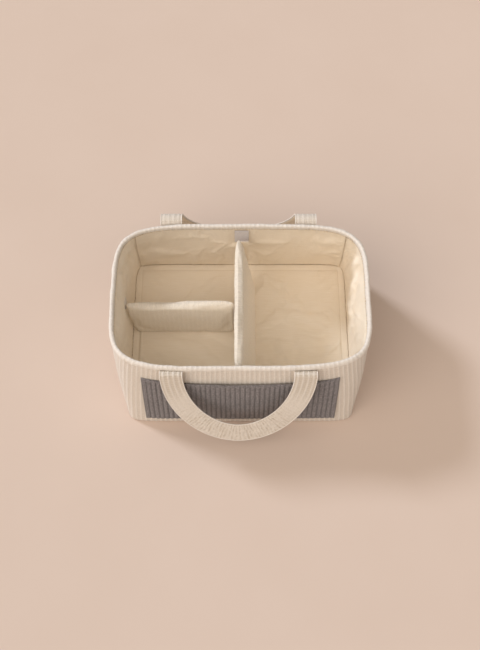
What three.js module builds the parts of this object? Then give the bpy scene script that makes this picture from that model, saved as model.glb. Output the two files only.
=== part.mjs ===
// Baby organizer: a soft caddy of ribbed cotton with a padded lining, two lift-out dividers,
// a patch pocket on the front and two strap handles. Millimetres, +Z up.
// The origin is the centre of the base, on the surface that it stands on.

import * as THREE from 'three';

// Body: the cloth tube is wide with round corners at the rim, and deep and square at the base
const height = 158;
const rimWidth = 380;
const rimDepth = 241;
const rimSquareness = 4.7;
const baseWidth = 349;
const baseDepth = 281;
const baseSquareness = 17;
const wallBelly = 2;

// Layers, from the outside in
const seamGap = 0.3;
const outerCloth = 1.2;
const wallFoam = 1.8;
const liningCloth = 0.8;
const bindingCloth = 0.8;
const baseCloth = 1.4;
const baseBoard = 3;
const basePad = 3.2;
const floorCloth = 1.2;
const floorBorder = 10;
const bindingOuterDrop = 6;
const bindingInnerDrop = 10;

// Patch pocket on the front
const pocketSideMargin = 31;
const pocketWidth = baseWidth - 2 * pocketSideMargin;
const pocketBottom = 18;
const pocketBelowRim = 30;
const pocketTop = height - pocketBelowRim;
const pocketCloth = 1.5;
const pocketGape = 9;
const pocketHem = 5;
const hemCloth = 0.8;

// Strap handles, each cut as a U and folded over where it leaves the wall
const strapWidth = 32;
const strapPadding = 2.2;
const strapFacing = 0.8;
const strapCrown = 0.6;
const strapReach = 121.2;
const frontHandleSpan = 191.8;
const rearHandleSpan = 206;
const handleCentre = -2.6;
const handleSquareness = 1.92;
const frontFoldRadius = 4;
const rearFoldRadius = 10;
const frontTailBelowBand = 3.8;
const rearTailBelowBand = 8;
const tailLength = 10;
const frontHangLean = THREE.MathUtils.degToRad(24.5);
const rearHangLean = THREE.MathUtils.degToRad(15);

// Dividers
const dividerTopThickness = 9;
const dividerBoard = 2;
const dividerCover = 1.2;
const dividerSquareness = 8;
const longDividerBelowRim = 13;
const longDividerTop = height - longDividerBelowRim;
const longDividerRearSlack = 19;
const longDividerFrontSlack = 9;
const longDividerLength = rimDepth - longDividerRearSlack - longDividerFrontSlack;
const longDividerMiddle = (longDividerFrontSlack - longDividerRearSlack) / 2;
const longDividerTopX = -3.3;
const longDividerFootX = 14;
const longDividerFootThickness = 22;
const shortDividerBelowRim = 60;
const shortDividerTop = height - shortDividerBelowRim;
const shortDividerY = 14.5;
const shortDividerFootThickness = 12;
const dividerRoom = 1;

// Cloth tabs on the dividers' ends, and the patches of hook-and-loop tape that hold them
const tapeThickness = 1.2;
const longTabWidth = 16.5;
const longTabEdgeX = longDividerTopX + longTabWidth;
const longTabStart = 40;
const longTabBelowRim = 39;
const longTabTop = height - longTabBelowRim;
const longHookHeight = 18;
const longHookStart = longTabTop - longHookHeight;
const loopPatchWidth = 22;
const loopPatchBelowRim = 16;
const loopPatchTop = height - loopPatchBelowRim;
const shortTabStart = 38;
const shortTabBelowTop = 6;
const shortTabTop = shortDividerTop - shortTabBelowTop;
const shortTabWidth = 7;
const loopSpread = 0.5;
const leftTabBelowTop = 2;
const leftTabTop = shortDividerTop - leftTabBelowTop;
const leftTabHeight = 15;
const leftTabStart = leftTabTop - leftTabHeight;
const leftTabWidth = 14;

// Facets along each side of the body, of a divider and round a handle's bow
const sideSteps = 7;
const dividerSteps = 4;
const bowSteps = 22;

const wallThickness = outerCloth + wallFoam + liningCloth + 2 * seamGap;
const rimRadius = wallThickness / 2 + seamGap + bindingCloth;
const wallTop = height - rimRadius;
const wallBottom = baseCloth + seamGap;
const boardTop = wallBottom + baseBoard;
const padTop = boardTop + seamGap + basePad;
const floorTop = padTop + seamGap + floorCloth;
const foamInset = outerCloth + seamGap;
const liningInset = foamInset + wallFoam + seamGap;
const strapThickness = strapPadding + seamGap + strapFacing;

const cream = clothMaterial(0xe9dfcf, 0.95);
const creamBand = clothMaterial(0xf0e8db, 0.92);
const liningCream = clothMaterial(0xe3d5bb, 0.9);
const pocketGrey = clothMaterial(0x7c7470, 0.95);
const tapeGrey = clothMaterial(0xbab3b8, 0.85);
const foamWhite = clothMaterial(0xf3efe4, 1);
const boardBuff = clothMaterial(0xc9b79c, 0.8);

function clothMaterial(color, roughness) {
  return new THREE.MeshStandardMaterial({ color, roughness, metalness: 0 });
}

// A solid through a row of closed rings with equal numbers of points. A looped row closes on
// its first ring, and any other gets a cap on its first and last ring. Each four-sided patch is
// split along its shorter diagonal, so layers that lie on each other are split alike.
function loft(rings, looped = false) {
  const count = rings[0].length;
  const points = rings.flat();
  const position = points.flatMap((point) => [point.x, point.y, point.z]);
  const index = [];
  const at = (ring, i) => (ring % rings.length) * count + (i % count);
  const quad = (a, b, c, d) => {
    const split = points[a].distanceTo(points[c]) < points[b].distanceTo(points[d]);
    index.push(...(split ? [a, b, c, a, c, d] : [a, b, d, b, c, d]));
  };
  const spans = looped ? rings.length : rings.length - 1;
  for (let r = 0; r < spans; r++) {
    for (let i = 0; i < count; i++) quad(at(r, i), at(r, i + 1), at(r + 1, i + 1), at(r + 1, i));
  }
  if (!looped) {
    const last = rings.length - 1;
    for (let i = 0; i < count / 2 - 1; i++) {
      quad(at(0, count - 1 - i), at(0, count - 2 - i), at(0, i + 1), at(0, i));
      quad(at(last, i), at(last, i + 1), at(last, count - 2 - i), at(last, count - 1 - i));
    }
  }
  const geometry = new THREE.BufferGeometry();
  geometry.setAttribute('position', new THREE.Float32BufferAttribute(position, 3));
  geometry.setIndex(signedVolume(position, index) < 0 ? index.reverse() : index);
  geometry.computeVertexNormals();
  return geometry;
}

function signedVolume(position, index) {
  const corner = (i) => new THREE.Vector3().fromArray(position, index[i] * 3);
  let volume = 0;
  for (let i = 0; i < index.length; i += 3) {
    volume += corner(i).dot(corner(i + 1).cross(corner(i + 2))) / 6;
  }
  return volume;
}

function node(name, geometry, material) {
  const mesh = new THREE.Mesh(geometry, material);
  mesh.name = name;
  return mesh;
}

// Half width, half depth and squareness of the body's outside at a height
function section(z) {
  const share = z / height;
  const belly = wallBelly * Math.sin(Math.PI * share);
  return {
    halfX: THREE.MathUtils.lerp(baseWidth, rimWidth, share) / 2 + belly,
    halfY: THREE.MathUtils.lerp(baseDepth, rimDepth, share) / 2 + belly,
    power: 1 / THREE.MathUtils.lerp(1 / baseSquareness, 1 / rimSquareness, share),
  };
}

// The superellipse point that a point (p, q) of the square from -1 to 1 falls on, moved in by inset
function superPoint({ halfX, halfY, power }, [p, q], z, inset = 0) {
  const reach = (Math.abs(p) ** power + Math.abs(q) ** power) ** (-1 / power);
  const x = p * reach;
  const y = q * reach;
  const normal = new THREE.Vector2(
    (Math.sign(x) * Math.abs(x) ** (power - 1)) / halfX,
    (Math.sign(y) * Math.abs(y) ** (power - 1)) / halfY,
  ).normalize();
  return new THREE.Vector3(halfX * x - normal.x * inset, halfY * y - normal.y * inset, z);
}

const wallPoint = (square, z, inset) => superPoint(section(z), square, z, inset);

// How far the outside of the front or back wall is from the middle plane
function wallDepth(x, z) {
  const { halfX, halfY, power } = section(z);
  return halfY * (1 - (Math.abs(x) / halfX) ** power) ** (1 / power);
}

// Places along one side of the square, closer together near its corners
function sidePath(side, steps, reach = 1) {
  const path = [];
  for (let i = -steps; i <= steps; i++) {
    const w = Math.sign(i) * Math.min(1 - (1 - Math.abs(i) / steps) ** 2, reach);
    path.push([[1, w], [-w, 1], [-1, -w], [w, -1]][side]);
  }
  return path;
}

function ringPath(steps) {
  return [0, 1, 2, 3].flatMap((side) => sidePath(side, steps).slice(1));
}

const bodyRing = ringPath(sideSteps);

// Equal steps from low to high, both ends included
function heights(low, high, rows) {
  return Array.from({ length: rows + 1 }, (_, i) => low + ((high - low) * i) / rows);
}

// All wall layers share these levels, so that their facets lie flat on each other
const liningLevels = [...heights(padTop + seamGap, height - bindingInnerDrop, 4), wallTop];
const wallLevels = [wallBottom, ...liningLevels];

// A closed wall layer between two insets
function wallLayer(outerInset, thickness, levels) {
  const outside = levels.map((z) => bodyRing.map((square) => wallPoint(square, z, outerInset)));
  const inside = levels.map((z) => bodyRing.map((square) => wallPoint(square, z, outerInset + thickness)));
  return loft([...outside, ...inside.reverse()], true);
}

// One side of a wall layer, from corner seam to corner seam
function wallPanel(side, outerInset, thickness, levels) {
  const reach = 1 - seamGap / (rimDepth / 2);
  return loft(sidePath(side, sideSteps, reach).map((square) => [
    ...levels.map((z) => wallPoint(square, z, outerInset)),
    ...levels.map((z) => wallPoint(square, z, outerInset + thickness)).reverse(),
  ]));
}

function slab(low, high, inset) {
  return loft([low, high].map((z) => bodyRing.map((square) => wallPoint(square, z, inset))));
}

// The turned-over band: down both faces of the wall and round over its top edge
function binding() {
  const middle = wallThickness / 2;
  const arc = heights(0, Math.PI, 4);
  const line = (radius, drop) => [
    [middle - radius, height - bindingOuterDrop],
    ...arc.map((angle) => [middle - radius * Math.cos(angle), wallTop + radius * Math.sin(angle)]),
    [middle + radius, height - bindingInnerDrop],
  ];
  const around = line(rimRadius).concat(line(rimRadius - bindingCloth).reverse());
  return loft(around.map(([inset, z]) => bodyRing.map((square) => wallPoint(square, z, inset))), true);
}

// The lining's floor, with a sewn groove that runs round it inside its edge
function liningFloor() {
  const edge = wallThickness + 2 * seamGap;
  const groove = 0.5;
  const profile = [
    [edge, padTop + seamGap],
    [edge, floorTop],
    [edge + floorBorder, floorTop],
    [edge + floorBorder + groove, floorTop - groove],
    [edge + floorBorder + 3 * groove, floorTop - groove],
    [edge + floorBorder + 4 * groove, floorTop],
  ];
  return loft(profile.map(([inset, z]) => {
    return bodyRing.map((square) => wallPoint(square, floorTop, inset).setZ(z));
  }));
}

// A patch on the front wall that stands off it by standOff(x, z)
function frontPatch(low, high, thickness, standOff) {
  const columns = 14;
  const levels = heights(low, high, 5);
  return loft(heights(-pocketWidth / 2, pocketWidth / 2, columns).map((x) => {
    const face = (extra) => (z) => new THREE.Vector3(x, -(wallDepth(x, z) + standOff(x, z) + extra), z);
    return [...levels.map(face(thickness)), ...levels.map(face(0)).reverse()];
  }));
}

// The pocket lies on the wall along its three sewn edges and gapes at its mouth
function pocketStandOff(x, z) {
  const across = 1 - (x / (pocketWidth / 2)) ** 2;
  const up = Math.max((z - pocketBottom) / (pocketTop - pocketBottom), 0);
  return seamGap + pocketGape * across * up;
}

const hemStandOff = (x, z) => pocketStandOff(x, z) + pocketCloth + seamGap;

const wallLean = Math.atan((baseDepth - rimDepth) / 2 / height);
const tailAngle = Math.PI + wallLean;
const strapStandOff = seamGap + strapThickness / 2;

// A handle's strap: side is -1 at the front, and fromTail and toHang are the lengths of its
// fold on the two sides of the fold's top
function strapForm(side, span, radius, tailBelowBand, hangLean) {
  const fromTail = radius * (tailAngle - Math.PI / 2);
  return {
    side,
    radius,
    fromTail,
    armX: span / 2,
    tailTop: height - bindingOuterDrop - tailBelowBand,
    toHang: radius * (Math.PI / 2 - hangLean),
    drop: strapReach - fromTail,
  };
}

const frontStrap = strapForm(-1, frontHandleSpan, frontFoldRadius, frontTailBelowBand, frontHangLean);
const rearStrap = strapForm(1, rearHandleSpan, rearFoldRadius, rearTailBelowBand, rearHangLean);

// The strap's route from its sewn tail over the fold and down. s is 0 at the top of the fold
// and negative towards the tail; out is measured from the wall, and angle from straight down.
function strapRoute({ radius, fromTail, toHang, tailTop }, s) {
  const turned = THREE.MathUtils.clamp(s, -fromTail, toHang);
  const angle = Math.PI / 2 - turned / radius;
  const beyond = s - turned;
  return {
    out: strapStandOff + radius * (Math.cos(angle) - Math.cos(tailAngle)) + beyond * Math.sin(angle),
    z: tailTop + radius * (Math.sin(angle) - Math.sin(tailAngle)) - beyond * Math.cos(angle),
    angle,
  };
}

// A point of a strap at x and s, lifted off its middle surface
function strapPoint(strap, x, s, lift) {
  const { side, armX, tailTop, fromTail } = strap;
  const { out, z, angle } = strapRoute(strap, s);
  const settle = THREE.MathUtils.clamp(-s / fromTail, 0, 1);
  const wallZ = Math.min(z, tailTop);
  const bow = (wallDepth(x - handleCentre, wallZ) - wallDepth(armX, wallZ)) * settle;
  const slope = s < -fromTail ? wallDepth(armX, z) - wallDepth(armX, tailTop) - (out - strapStandOff) : 0;
  const y = wallDepth(armX, tailTop) + out + bow + slope + lift * Math.cos(angle);
  return new THREE.Vector3(x, side * y, z + lift * Math.sin(angle));
}

// A closed section across the strap, crowned on its outer face
function strapSection(strap, edgeA, edgeB, low, high, crown) {
  const across = [0, 0.15, 0.5, 0.85, 1];
  const point = (share, lift) => {
    const x = THREE.MathUtils.lerp(edgeA[0], edgeB[0], share);
    const s = THREE.MathUtils.lerp(edgeA[1], edgeB[1], share);
    return strapPoint(strap, x, s, lift);
  };
  const rise = (share) => crown * 4 * (share - 0.5) ** 2;
  return [
    ...across.map((share) => point(share, high - rise(share))),
    ...across.map((share) => point(share, low)).reverse(),
  ];
}

// The plies of a strap as heights above its middle surface
const plies = {
  padding: [-strapThickness / 2 + strapFacing + seamGap, strapThickness / 2, strapCrown],
  facing: [-strapThickness / 2, -strapThickness / 2 + strapFacing, 0],
};

// The swinging U of a handle: both arms start at the fold and meet in the bow
function handleBow(strap, [low, high, crown]) {
  const { armX, toHang, drop } = strap;
  const folds = heights(0, toHang, 4).slice(0, -1).map((s) => Math.asin(s / drop));
  const firstBow = Math.asin(toHang / drop);
  const bow = heights(firstBow, Math.PI - firstBow, bowSteps);
  const turns = [...folds, ...bow, ...folds.map((turn) => Math.PI - turn).reverse()];
  const middle = (turn) => new THREE.Vector2(
    Math.sign(Math.cos(turn)) * Math.abs(Math.cos(turn)) ** (2 / handleSquareness) * armX,
    Math.max(Math.sin(turn), 0) ** (2 / handleSquareness) * drop,
  );
  return loft(turns.map((turn, i) => {
    const centre = middle(turn);
    const before = middle(turns[Math.max(i - 1, 0)]);
    const after = middle(turns[Math.min(i + 1, turns.length - 1)]);
    const along = i === 0 || i === turns.length - 1
      ? new THREE.Vector2(0, i === 0 ? 1 : -1)
      : after.sub(before).normalize();
    const edge = (reach) => [
      handleCentre + centre.x + along.y * reach,
      Math.max(centre.y - along.x * reach, 0) + seamGap,
    ];
    return strapSection(strap, edge(strapWidth / 2), edge(-strapWidth / 2), low, high, crown);
  }));
}

// The sewn end of one arm: its tail lies flat on the wall, then it rises and folds over
function handleEnd(strap, arm) {
  const middle = handleCentre + arm * strap.armX;
  const half = strapWidth / 2;
  const stops = [
    ...heights(-strap.fromTail - tailLength, -strap.fromTail, 2).slice(0, -1),
    ...heights(-strap.fromTail, 0, 6),
  ];
  return loft(stops.map((s) => {
    return strapSection(strap, [middle - half, s], [middle + half, s], -strapThickness / 2, strapThickness / 2, 0);
  }));
}

// Divider pads: superellipse rings from the foot up, drawn in over the rounded top
const padRing = ringPath(dividerSteps);

function padRings(form, shrink, low, high, topRound) {
  const drawnIn = 0.8 * topRound;
  const straight = heights(low, high - topRound, 3);
  const round = heights(0, Math.PI / 2, 3).slice(1);
  const ring = (z, drawIn) => {
    const { x, y, halfX, halfY } = form(z);
    const size = { halfX: halfX - shrink - drawIn, halfY: halfY - shrink - drawIn, power: dividerSquareness };
    return padRing.map((square) => superPoint(size, square, z).add(new THREE.Vector3(x, y, 0)));
  };
  return [
    ...straight.map((z) => ring(z, 0)),
    ...round.map((angle) => {
      return ring(high - topRound + topRound * Math.sin(angle), drawnIn * (1 - Math.cos(angle)));
    }),
  ];
}

// The long divider leans: its top lies left of its foot, and its foot is the fuller end
function longDividerForm(z) {
  const share = (z - floorTop) / (longDividerTop - floorTop);
  return {
    x: THREE.MathUtils.lerp(longDividerFootX, longDividerTopX, share),
    y: longDividerMiddle,
    halfX: THREE.MathUtils.lerp(longDividerFootThickness, dividerTopThickness, share) / 2,
    halfY: longDividerLength / 2,
  };
}

// The short divider spans from the left wall to the long divider's upper left edge
const shortDividerRight = longDividerTopX - dividerTopThickness / 2 - tapeThickness - 2 * dividerRoom;
const leftWallInside = (z) => -(section(z).halfX - wallThickness);
const leftLayerStart = (z, layer) => leftWallInside(z) + seamGap + layer * (tapeThickness + seamGap);
const leftLayers = { loop: 0, hook: 1, tab: 2, divider: 3 };

function shortDividerForm(z) {
  const share = (z - floorTop) / (shortDividerTop - floorTop);
  const left = leftLayerStart(z, leftLayers.divider);
  return {
    x: (left + shortDividerRight) / 2,
    y: shortDividerY,
    halfX: (shortDividerRight - left) / 2,
    halfY: THREE.MathUtils.lerp(shortDividerFootThickness, dividerTopThickness, share) / 2,
  };
}

// Board, pad and cover of a divider. The pad and the cover are sleeves, open at the foot.
function dividerPieces(name, form, top) {
  const foot = floorTop + seamGap;
  const round = dividerTopThickness / 2;
  const coverInside = top - dividerCover;
  const coverRound = round - dividerCover;
  const padShrink = dividerCover + seamGap;
  const alongX = form(top).halfX > form(top).halfY;
  const board = (grow, low, high) => [low, high].map((z) => {
    const { x, y, halfX, halfY } = form(z);
    const inset = padShrink + wallFoam;
    const size = {
      halfX: (alongX ? halfX - inset : dividerBoard / 2) + grow,
      halfY: (alongX ? dividerBoard / 2 : halfY - inset) + grow,
      power: dividerSquareness,
    };
    return padRing.map((square) => superPoint(size, square, z).add(new THREE.Vector3(x, y, 0)));
  });
  const boardTopZ = top - dividerCover - seamGap - round;
  const cover = loft([
    ...padRings(form, dividerCover, foot, coverInside, coverRound).reverse(),
    ...padRings(form, 0, foot, top, round),
  ]);
  const pad = loft([
    ...board(seamGap, foot, boardTopZ + seamGap).reverse(),
    ...padRings(form, padShrink, foot, coverInside - seamGap, coverRound - seamGap),
  ]);
  return [
    node(`${name}_board`, loft(board(0, foot, boardTopZ)), boardBuff),
    node(`${name}_pad`, pad, foamWhite),
    node(`${name}_cover`, cover, cream),
  ];
}

// An upright tape: a route on the plan with a thickness, drawn between two heights
function tape(routeAt, low, high, thickness = tapeThickness, rows = 3) {
  return loft(heights(low, high, rows).map((z) => {
    const route = routeAt(z).map(([x, y]) => new THREE.Vector2(x, y));
    const offset = (reach) => route.map((point, i) => {
      const into = point.clone().sub(route[Math.max(i - 1, 0)]).normalize();
      const out = route[Math.min(i + 1, route.length - 1)].clone().sub(point).normalize();
      const along = into.clone().add(out).normalize();
      const miter = 1 / Math.max(along.dot(into.lengthSq() ? into : out), 0.5);
      return new THREE.Vector3(point.x - along.y * reach * miter, point.y + along.x * reach * miter, z);
    });
    return [...offset(thickness / 2), ...offset(-thickness / 2).reverse()];
  }));
}

// Where a lifted tab clears the inner edge of the rim band
const rimInside = wallDepth(longTabEdgeX, height) - wallThickness - seamGap - bindingCloth;
const tabReach = rimInside - seamGap;

// A long divider tab: out from the divider's end, then flat along the wall to its upright edge
function longDividerTab(end) {
  const endY = longDividerMiddle + (end * longDividerLength) / 2;
  const tabY = end * (tabReach - seamGap - 1.5 * tapeThickness);
  return tape((z) => {
    const { x } = longDividerForm(z);
    return [[x, endY + end * seamGap], [x, tabY], [longTabEdgeX, tabY]];
  }, longTabStart, longTabTop);
}

function longDividerHook(end) {
  const hookY = end * (tabReach - tapeThickness / 2);
  const hookRoute = (z) => [[longDividerForm(z).x, hookY], [longTabEdgeX, hookY]];
  return tape(hookRoute, longHookStart, longTabTop);
}

// The loop patch on the lining, behind a long divider's hook patch and up past it
function wallLoop(end) {
  return tape((z) => {
    const y = end * (wallDepth(0, z) - wallThickness - seamGap - tapeThickness / 2);
    return [[longTabEdgeX - loopPatchWidth, y], [longTabEdgeX, y]];
  }, longHookStart, loopPatchTop);
}

// The patches and the tab between the left wall and the short divider, layer by layer
function leftTape(layer) {
  return tape((z) => {
    const x = leftLayerStart(z, layer) + tapeThickness / 2;
    return [[x, shortDividerY], [x, shortDividerY + leftTabWidth]];
  }, leftTabStart, leftTabTop);
}

// An upright tape at a given x behind the short divider's right end
function rightTape(xAt, width) {
  const route = (z) => [[xAt(z), shortDividerY - width / 2], [xAt(z), shortDividerY + width / 2]];
  return tape(route, shortTabStart, shortTabTop);
}

const rightTab = () => rightTape(() => shortDividerRight + seamGap + tapeThickness / 2, shortTabWidth);

// The loop tape on the long divider's left face, for the short divider's right tab
const longDividerLoop = () => rightTape((z) => {
  const { x, halfX } = longDividerForm(z);
  return x - halfX - seamGap - tapeThickness / 2;
}, shortTabWidth + 2 * loopSpread);

const sideNames = ['right', 'back', 'left', 'front'];

function makeBody() {
  const body = new THREE.Group();
  body.add(node('outer_base', slab(0, baseCloth, 0), cream));
  body.add(node('outer_wall', wallLayer(0, outerCloth, wallLevels), cream));
  body.add(node('rim_binding', binding(), creamBand));
  body.add(node('base_board', slab(wallBottom, boardTop, liningInset + seamGap), boardBuff));
  body.add(node('base_pad', slab(boardTop + seamGap, padTop, liningInset + seamGap), foamWhite));
  body.add(node('lining_floor', liningFloor(), liningCream));
  sideNames.forEach((name, side) => {
    const foam = wallPanel(side, foamInset, wallFoam, wallLevels);
    const lining = wallPanel(side, liningInset, liningCloth, liningLevels);
    body.add(node(`wall_foam_${name}`, foam, foamWhite));
    body.add(node(`lining_${name}`, lining, liningCream));
  });
  const pocket = frontPatch(pocketBottom, pocketTop, pocketCloth, pocketStandOff);
  const hem = frontPatch(pocketTop - pocketHem, pocketTop, hemCloth, hemStandOff);
  body.add(node('front_pocket', pocket, pocketGrey));
  body.add(node('front_pocket_hem', hem, pocketGrey));
  body.add(node('back_loop_tape', wallLoop(1), tapeGrey));
  body.add(node('front_loop_tape', wallLoop(-1), tapeGrey));
  body.add(node('left_loop_tape', leftTape(leftLayers.loop), tapeGrey));
  return body;
}

function makeHandle(name, strap) {
  const handle = new THREE.Group();
  handle.add(node(`${name}_handle`, handleBow(strap, plies.padding), cream));
  handle.add(node(`${name}_handle_facing`, handleBow(strap, plies.facing), liningCream));
  handle.add(node(`${name}_handle_end_left`, handleEnd(strap, -1), cream));
  handle.add(node(`${name}_handle_end_right`, handleEnd(strap, 1), cream));
  return handle;
}

function makeLongDivider() {
  const divider = new THREE.Group();
  divider.add(...dividerPieces('long_divider', longDividerForm, longDividerTop));
  divider.add(node('long_divider_rear_tab', longDividerTab(1), liningCream));
  divider.add(node('long_divider_front_tab', longDividerTab(-1), liningCream));
  divider.add(node('long_divider_rear_hook', longDividerHook(1), tapeGrey));
  divider.add(node('long_divider_front_hook', longDividerHook(-1), tapeGrey));
  divider.add(node('long_divider_loop', longDividerLoop(), tapeGrey));
  return divider;
}

function makeShortDivider() {
  const divider = new THREE.Group();
  divider.add(...dividerPieces('short_divider', shortDividerForm, shortDividerTop));
  divider.add(node('short_divider_left_tab', leftTape(leftLayers.tab), cream));
  divider.add(node('short_divider_left_hook', leftTape(leftLayers.hook), tapeGrey));
  divider.add(node('short_divider_right_tab', rightTab(), cream));
  return divider;
}

const organizer = new THREE.Group();
organizer.add(makeBody());
organizer.add(makeHandle('front', frontStrap));
organizer.add(makeHandle('rear', rearStrap));
organizer.add(makeLongDivider());
organizer.add(makeShortDivider());

export default organizer;
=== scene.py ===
from bisect import bisect
from math import atan, copysign, cos, exp, pi, radians, sin

import bmesh
import bpy
from mathutils import Matrix, Vector, noise
from mathutils.bvhtree import BVHTree


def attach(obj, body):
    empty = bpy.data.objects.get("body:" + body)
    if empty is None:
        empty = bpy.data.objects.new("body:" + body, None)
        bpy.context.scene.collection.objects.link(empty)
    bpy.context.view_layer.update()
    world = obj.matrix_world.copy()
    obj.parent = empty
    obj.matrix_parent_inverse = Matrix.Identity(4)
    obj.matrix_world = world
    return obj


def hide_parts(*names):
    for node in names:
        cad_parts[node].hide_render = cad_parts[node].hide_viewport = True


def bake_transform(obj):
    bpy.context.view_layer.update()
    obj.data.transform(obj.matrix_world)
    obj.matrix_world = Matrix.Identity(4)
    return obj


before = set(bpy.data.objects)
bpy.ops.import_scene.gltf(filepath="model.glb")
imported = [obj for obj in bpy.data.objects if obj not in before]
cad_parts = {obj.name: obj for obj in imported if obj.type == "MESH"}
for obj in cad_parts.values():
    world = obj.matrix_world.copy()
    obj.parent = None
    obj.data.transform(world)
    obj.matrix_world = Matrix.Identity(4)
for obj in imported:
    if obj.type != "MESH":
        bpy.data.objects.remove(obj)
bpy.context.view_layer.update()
scene = bpy.context.scene
scene.view_settings.view_transform = "Standard"
print("frame loaded", len(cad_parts), "nodes")


def linearColor(hexText):
    parts = [int(hexText[i:i + 2], 16) / 255 for i in (0, 2, 4)]
    return [c / 12.92 if c <= 0.04045 else ((c + 0.055) / 1.055) ** 2.4 for c in parts] + [1]


def lerp(a, b, share):
    return a + (b - a) * share


def clamp(value, low=0, high=1):
    return max(low, min(high, value))


def smooth(share):
    share = clamp(share)
    return share * share * (3 - 2 * share)


def ripple(x, y, z):
    return noise.noise((x, y, z))


def addNode(owner, kind, settings=None, inputs=None):
    # owner is a material or the world
    node = owner.node_tree.nodes.new("ShaderNode" + kind)
    for key, value in (settings or {}).items():
        setattr(node, key, value)
    for key, value in (inputs or {}).items():
        if isinstance(value, bpy.types.NodeSocket):
            owner.node_tree.links.new(value, node.inputs[key])
        else:
            node.inputs[key].default_value = value
    return node


def mathNode(material, operation, *values):
    return addNode(material, "Math", {"operation": operation}, dict(enumerate(values))).outputs[0]


def noiseNode(material, place, scale, detail, roughness=0.5):
    return addNode(material, "TexNoise", None, {"Vector": place, "Scale": scale, "Detail": detail,
                                                "Roughness": roughness}).outputs["Fac"]


def cellNode(material, place, scale, randomness=1.0):
    return addNode(material, "TexVoronoi", {"feature": "F1"},
                   {"Vector": place, "Scale": scale, "Randomness": randomness}).outputs["Distance"]


def rangeNode(material, value, low, high, toLow=0.0, toHigh=1.0):
    return addNode(material, "MapRange", None, {"Value": value, "From Min": low, "From Max": high,
                                                "To Min": toLow, "To Max": toHigh}).outputs[0]


def mixColor(material, share, first, second, blend="MIX"):
    # a colour is a socket or the hex text of an sRGB colour
    first, second = [linearColor(c) if isinstance(c, str) else c for c in (first, second)]
    return addNode(material, "Mix", {"data_type": "RGBA", "blend_type": blend},
                   {0: share, 6: first, 7: second}).outputs[2]


def newMaterial(name, roughness, sheen=0.0):
    material = bpy.data.materials.new(name)
    material.use_nodes = True
    shader = material.node_tree.nodes["Principled BSDF"]
    for key, value in {"Roughness": roughness, "Sheen Weight": sheen, "Sheen Roughness": 0.5,
                       "Specular IOR Level": 0.25}.items():
        shader.inputs[key].default_value = value
    return material, shader


def linkLooks(material, shader, color, height, strength, distance):
    bump = addNode(material, "Bump", None, {"Height": height, "Strength": strength, "Distance": distance})
    material.node_tree.links.new(color, shader.inputs["Base Color"])
    material.node_tree.links.new(bump.outputs[0], shader.inputs["Normal"])
    return material


def ribbedCotton(name, colors, looks):
    # Ribbed cotton knit: the knitting gives small loops along each rib and a dry, fuzzy surface
    rib, ribWarm, grooveShadeColor = colors
    material, shader = newMaterial(name, 0.92, looks["fuzz"])
    uv = addNode(material, "UVMap", {"uv_map": "cloth"}).outputs[0]
    groove = addNode(material, "Attribute", {"attribute_name": "groove"}).outputs["Fac"]
    # knitted loops, a little over a millimetre in the cloth, drawn coarse so that they show
    loopScale = [1000 / size for size in looks["loopMm"]] + [1]
    loopPlace = addNode(material, "Mapping", None, {0: uv, "Scale": loopScale}).outputs[0]
    loops = rangeNode(material, cellNode(material, loopPlace, 1.0, 0.55), 0.1, 0.75, 1.0, 1 - looks["grain"])
    # fibres of about a millimetre, and patches of a few centimetres
    fuzz = rangeNode(material, noiseNode(material, uv, 900.0, 4.0, 0.7), 0.3, 0.7, 1 - 0.5 * looks["grain"])
    grain = mathNode(material, "MULTIPLY", loops, fuzz)
    patches = noiseNode(material, uv, 28.0, 3.0)
    # a needle hole in the groove every few millimetres, as a rib knit has
    rows = addNode(material, "SeparateXYZ", None, {0: uv}).outputs[1]
    wave = mathNode(material, "SINE", mathNode(material, "MULTIPLY", rows, 2 * pi / looks["holePitch"]))
    holes = rangeNode(material, wave, -0.2, 0.9, 1 - looks["holeShare"])
    # painted shade: the grooves and their needle holes are darkened towards the groove colour, and the same
    # mask sinks them in the bump
    grooveAndHoleShade = mathNode(material, "MULTIPLY", mathNode(material, "POWER", groove, 1.5), holes)
    color = mixColor(material, grooveAndHoleShade, mixColor(material, patches, rib, ribWarm), grooveShadeColor)
    color = mixColor(material, 1.0, color, grain, "MULTIPLY")
    height = mathNode(material, "MULTIPLY_ADD", grooveAndHoleShade, -1.2, grain)
    return linkLooks(material, shader, color, height, looks["bump"], 0.0006)


def wovenCotton(name, colors, threadMm):
    # Plain woven cotton: flat threads over and under, with slubs and a little unevenness in the dye
    thread, threadWarm, slubColor = colors
    material, shader = newMaterial(name, 0.88, 0.12)
    uv = addNode(material, "UVMap", {"uv_map": "cloth"}).outputs[0]
    turns = 2 * pi / (threadMm * 0.001)
    axes = addNode(material, "SeparateXYZ", None, {0: uv}).outputs
    waves = [mathNode(material, "SINE", mathNode(material, "MULTIPLY", axes[i], turns)) for i in (0, 1)]
    # slubs: thicker stretches of thread, a few centimetres long
    slubPlace = addNode(material, "Mapping", None, {0: uv, "Scale": (40, 900, 1)}).outputs[0]
    slubs = noiseNode(material, slubPlace, 1.0, 3.0)
    color = mixColor(material, noiseNode(material, uv, 22.0, 4.0, 0.6), thread, threadWarm)
    color = mixColor(material, rangeNode(material, slubs, 0.35, 0.75, 0.0, 0.35), color, slubColor)
    height = mathNode(material, "MULTIPLY_ADD", slubs, 1.5, mathNode(material, "MULTIPLY", *waves))
    return linkLooks(material, shader, color, height, 0.22, 0.0003)


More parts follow.
